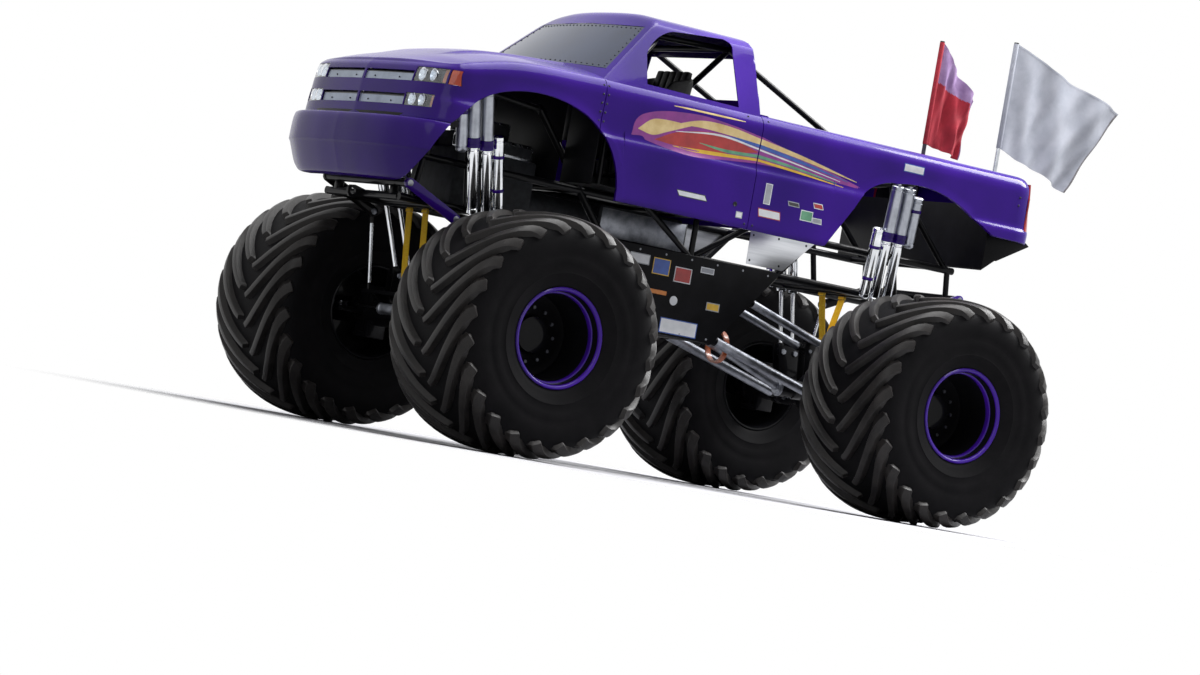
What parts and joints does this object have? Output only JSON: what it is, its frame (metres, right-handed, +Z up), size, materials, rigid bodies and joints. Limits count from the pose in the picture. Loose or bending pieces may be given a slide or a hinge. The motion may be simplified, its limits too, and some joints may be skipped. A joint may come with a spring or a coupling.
{
  "type": "monster truck",
  "caption": "Monster truck with a hollow moulded pickup body over an open tube frame, lugged tyres on steered front and rear axles, long shocks and two flags",
  "frame": {"origin": "on the floor under the middle of the whole length, flags included, and on the truck's centre plane", "axes": "+X to the nose, +Y to the truck's left, +Z up"},
  "size_m": [6.6152, 3.51, 3.742],
  "materials": {
    "tyre": "matt moulded tread rubber",
    "violet_metal": "gloss violet paint",
    "black_metal": "gloss black powder coat",
    "grey_metal": "satin steel",
    "steel": "turned steel",
    "chrome": "polished",
    "alloy": "brushed sheet",
    "grey_alloy": "satin anodised",
    "violet_body": "gloss violet gel coat",
    "lamp_glass": "clear lens over a bright reflector",
    "orange_lens": "moulded lens",
    "red_lens": "moulded lens",
    "tinted_screen": "tinted sheet",
    "black_leather": "padded shell",
    "black_plastic": "fine grain",
    "engine_metal": "dark paint",
    "orange_metal": "satin orange-brown paint",
    "pole_metal": "bright tube",
    "yellow_webbing": "woven webbing",
    "white_cloth": "woven flag cloth",
    "red_cloth": "woven flag cloth"
  },
  "bodies": {
    "truck": {"axle_front": "black_metal", "axle_rear": "black_metal", "frame_side_left": "black_metal", "frame_side_right": "black_metal", "frame_crossmembers": "black_metal", "roll_cage": "black_metal", "belly_plates": "black_metal", "alloy_panels": "alloy", "link_bars": "grey_metal", "limit_straps": "yellow_webbing", "antiroll_bars": "black_metal", "antiroll_arms": "violet_metal", "shock_sleeves": "grey_alloy", "shock_tubes": "chrome", "shock_rings": "violet_metal", "front_clip": "violet_body", "front_bumper": "violet_body", "grille": "alloy", "headlamps": "lamp_glass", "marker_lamps": "orange_lens", "cab_shell": "violet_body", "windscreen": "tinted_screen", "bed_shell": "violet_body", "tail_lamps": "red_lens", "inner_panels": "black_metal", "seat": "black_leather", "controls": "black_plastic", "engine_block": "engine_metal", "driveline": "steel", "shaft_loops": "orange_metal", "flag_poles": "pole_metal", "flag_left": "white_cloth", "flag_right": "red_cloth"},
    "knuckle_front_left": {"knuckle_front_left": "black_metal"},
    "wheel_front_left": {"tyre_front_left": "tyre", "rim_front_left": "violet_metal"},
    "knuckle_front_right": {"knuckle_front_right": "black_metal"},
    "wheel_front_right": {"tyre_front_right": "tyre", "rim_front_right": "violet_metal"},
    "knuckle_rear_left": {"knuckle_rear_left": "black_metal"},
    "wheel_rear_left": {"tyre_rear_left": "tyre", "rim_rear_left": "violet_metal"},
    "knuckle_rear_right": {"knuckle_rear_right": "black_metal"},
    "wheel_rear_right": {"tyre_rear_right": "tyre", "rim_rear_right": "violet_metal"},
    "rod_front": {"steering_rod_front": "chrome"},
    "rod_rear": {"steering_rod_rear": "chrome"}
  },
  "joints": [
    {"name": "steer_front_left", "type": "hinge", "parent": "truck", "child": "knuckle_front_left", "pos_m": [2.2825, 0.86, 0.83756], "axis": [0, 0, 1], "range_deg": [-20, 20]},
    {"name": "spin_front_left", "type": "hinge", "parent": "knuckle_front_left", "child": "wheel_front_left", "pos_m": [2.2825, 1.24, 0.83756], "axis": [0, 1, 0], "continuous": true},
    {"name": "steer_front_right", "type": "hinge", "parent": "truck", "child": "knuckle_front_right", "pos_m": [2.2825, -0.86, 0.83756], "axis": [0, 0, 1], "range_deg": [-20, 20]},
    {"name": "spin_front_right", "type": "hinge", "parent": "knuckle_front_right", "child": "wheel_front_right", "pos_m": [2.2825, -1.24, 0.83756], "axis": [0, 1, 0], "continuous": true},
    {"name": "steer_rear_left", "type": "hinge", "parent": "truck", "child": "knuckle_rear_left", "pos_m": [-1.2575, 0.86, 0.83756], "axis": [0, 0, 1], "range_deg": [-20, 20]},
    {"name": "spin_rear_left", "type": "hinge", "parent": "knuckle_rear_left", "child": "wheel_rear_left", "pos_m": [-1.2575, 1.24, 0.83756], "axis": [0, 1, 0], "continuous": true},
    {"name": "steer_rear_right", "type": "hinge", "parent": "truck", "child": "knuckle_rear_right", "pos_m": [-1.2575, -0.86, 0.83756], "axis": [0, 0, 1], "range_deg": [-20, 20]},
    {"name": "spin_rear_right", "type": "hinge", "parent": "knuckle_rear_right", "child": "wheel_rear_right", "pos_m": [-1.2575, -1.24, 0.83756], "axis": [0, 1, 0], "continuous": true},
    {"name": "slide_front", "type": "slide", "parent": "truck", "child": "rod_front", "axis": [0, 1, 0], "range_m": [-0.085, 0.085]},
    {"name": "slide_rear", "type": "slide", "parent": "truck", "child": "rod_rear", "axis": [0, 1, 0], "range_m": [-0.085, 0.085]}
  ],
  "couplings": [
    {"joint": "steer_front_right", "follows": "steer_front_left", "ratio": 1},
    {"joint": "slide_front", "follows": "steer_front_left", "m_per_rad": 0.23},
    {"joint": "steer_rear_right", "follows": "steer_rear_left", "ratio": 1},
    {"joint": "slide_rear", "follows": "steer_rear_left", "m_per_rad": -0.23}
  ]
}
